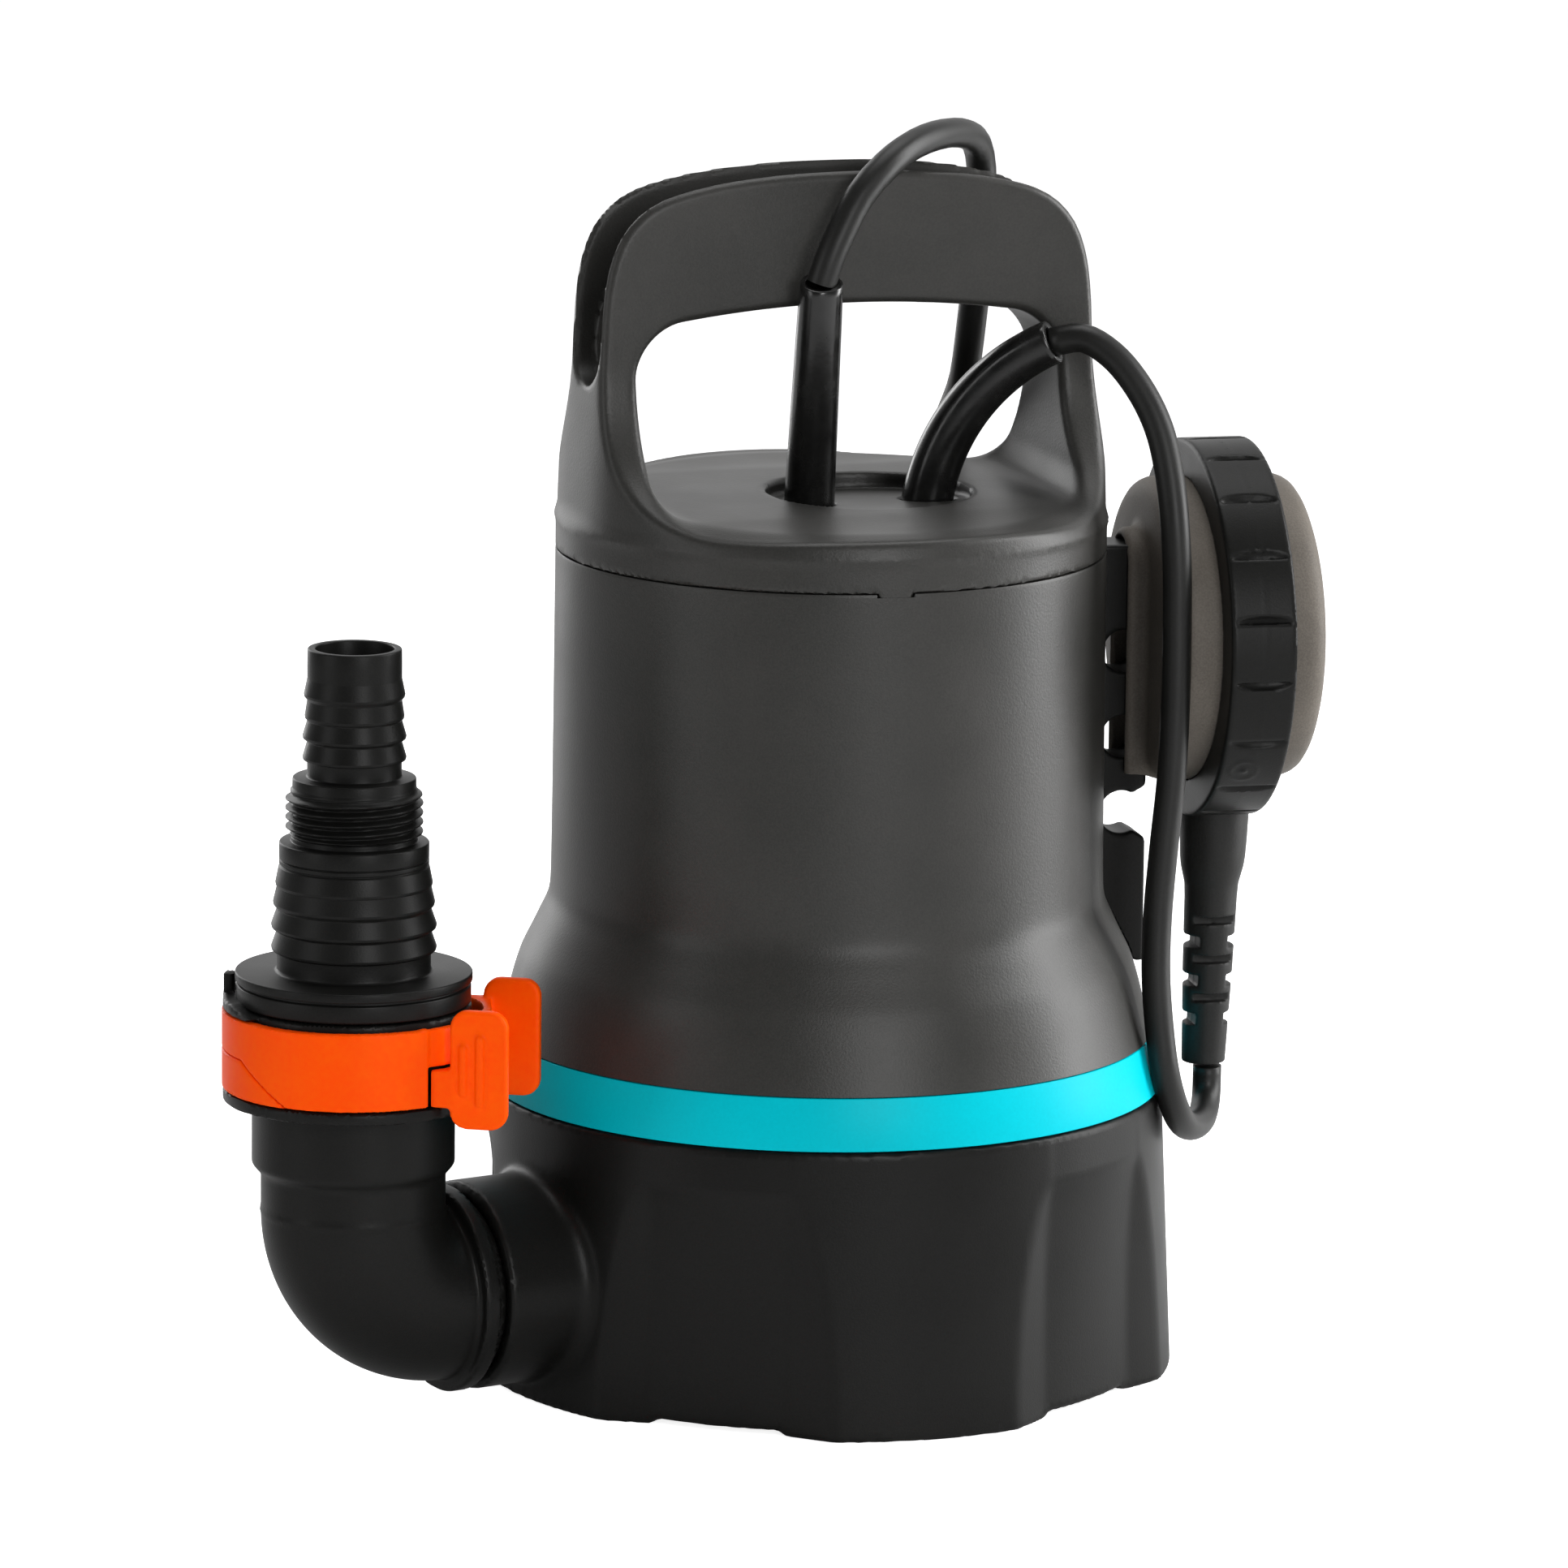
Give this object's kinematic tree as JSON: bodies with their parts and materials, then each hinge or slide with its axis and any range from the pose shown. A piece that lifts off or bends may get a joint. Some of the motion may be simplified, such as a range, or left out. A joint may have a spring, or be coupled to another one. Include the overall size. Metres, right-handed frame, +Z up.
{
  "type": "submersible sump pump",
  "caption": "Submersible sump pump with carrying handle, side outlet elbow, clip-on stepped hose nozzle, rail-mounted ball float switch and a tied coil of mains cord.",
  "frame": {"origin": "centre of the foot circle on the floor, under the motor shaft", "axes": "+Z up along the motor shaft; the handle spans X, the float switch is near +X, the outlet near -X"},
  "size_m": [0.3079, 0.3398, 0.3117],
  "materials": {
    "housing_grey": "fine spark-eroded grain",
    "base_black": "satin",
    "band_cyan": "smooth",
    "clip_orange": "smooth",
    "float_taupe": "satin",
    "float_dark": "satin",
    "internal_plastic": "natural",
    "cord_rubber": "smooth jacket",
    "sleeve_rubber": "glossy moulded rubber",
    "seal_rubber": "smooth",
    "steel": "turned",
    "can_steel": "drawn",
    "laminations": "stamped",
    "copper": "varnished wire",
    "cast_aluminium": "die cast",
    "tie_plastic": "smooth"
  },
  "bodies": {
    "pump": {"pump_base": "base_black", "suction_strainer": "base_black", "strainer_screws": "steel", "volute_cover": "base_black", "cover_screws": "steel", "shaft_seal": "seal_rubber", "bearing_carrier": "cast_aluminium", "carrier_screws": "steel", "can_seal": "seal_rubber", "lower_bearing": "steel", "motor_can": "can_steel", "stator_core": "laminations", "stator_windings": "copper", "bearing_bracket": "cast_aluminium", "upper_bearing": "steel", "capacitor_saddle": "base_black", "run_capacitor": "internal_plastic", "terminal_block": "internal_plastic", "lead_wires": "cord_rubber", "base_seal": "seal_rubber", "trim_band": "band_cyan", "motor_housing": "housing_grey", "tie_bolts": "steel", "lid_seal": "seal_rubber", "handle_lid": "housing_grey", "cable_clamp": "base_black", "clamp_screws": "steel", "float_rail": "base_black", "rail_screws": "steel", "mains_sleeve": "sleeve_rubber", "float_sleeve": "sleeve_rubber", "mains_cord": "cord_rubber", "mains_coil": "cord_rubber", "coil_tie": "tie_plastic", "mains_plug": "cord_rubber", "float_cord": "cord_rubber"},
    "rotor": {"motor_shaft": "steel", "rotor_core": "laminations", "impeller": "base_black", "impeller_nut": "steel"},
    "elbow": {"outlet_elbow": "base_black", "elbow_seal": "seal_rubber"},
    "nozzle": {"hose_nozzle": "base_black", "nozzle_seal": "seal_rubber"},
    "front_jaw": {"clip_front_jaw": "clip_orange"},
    "rear_jaw": {"clip_rear_jaw": "clip_orange"},
    "float": {"float_inner_cap": "float_dark", "float_outer_cap": "float_taupe", "float_ring": "base_black", "float_gasket": "seal_rubber", "float_gland": "sleeve_rubber", "ball_cage": "internal_plastic", "microswitch": "internal_plastic"},
    "ball": {"switch_ball": "steel"}
  },
  "joints": [
    {"name": "shaft_spin", "type": "hinge", "parent": "pump", "child": "rotor", "pos_m": [0, 0, 0.1], "axis": [0, 0, 1], "continuous": true},
    {"name": "elbow_swivel", "type": "hinge", "parent": "pump", "child": "elbow", "pos_m": [0, 0, 0.0304], "axis": [-0.9781, -0.2079, 0], "range_deg": [-65, 65]},
    {"name": "nozzle_swivel", "type": "hinge", "parent": "elbow", "child": "nozzle", "pos_m": [-0.13137, -0.02792, 0.1], "axis": [0, 0, 1], "continuous": true},
    {"name": "front_jaw_squeeze", "type": "hinge", "parent": "elbow", "child": "front_jaw", "pos_m": [-0.15761, -0.01277, 0.0937], "axis": [0, 0, 1], "range_deg": [-1.5, 0], "stiffness_Nm_per_rad": 3, "springref_deg": 1.15},
    {"name": "rear_jaw_squeeze", "type": "hinge", "parent": "elbow", "child": "rear_jaw", "pos_m": [-0.15761, -0.01277, 0.0937], "axis": [0, 0, 1], "range_deg": [0, 1.5]},
    {"name": "float_lift", "type": "slide", "parent": "pump", "child": "float", "axis": [0, 0, 1], "range_m": [0, 0.025], "deforming": ["float_cord"]},
    {"name": "ball_roll", "type": "slide", "parent": "float", "child": "ball", "axis": [0, 0, 1], "range_m": [0, 0.022]}
  ],
  "couplings": [
    {"joint": "rear_jaw_squeeze", "follows": "front_jaw_squeeze", "ratio": -1}
  ]
}
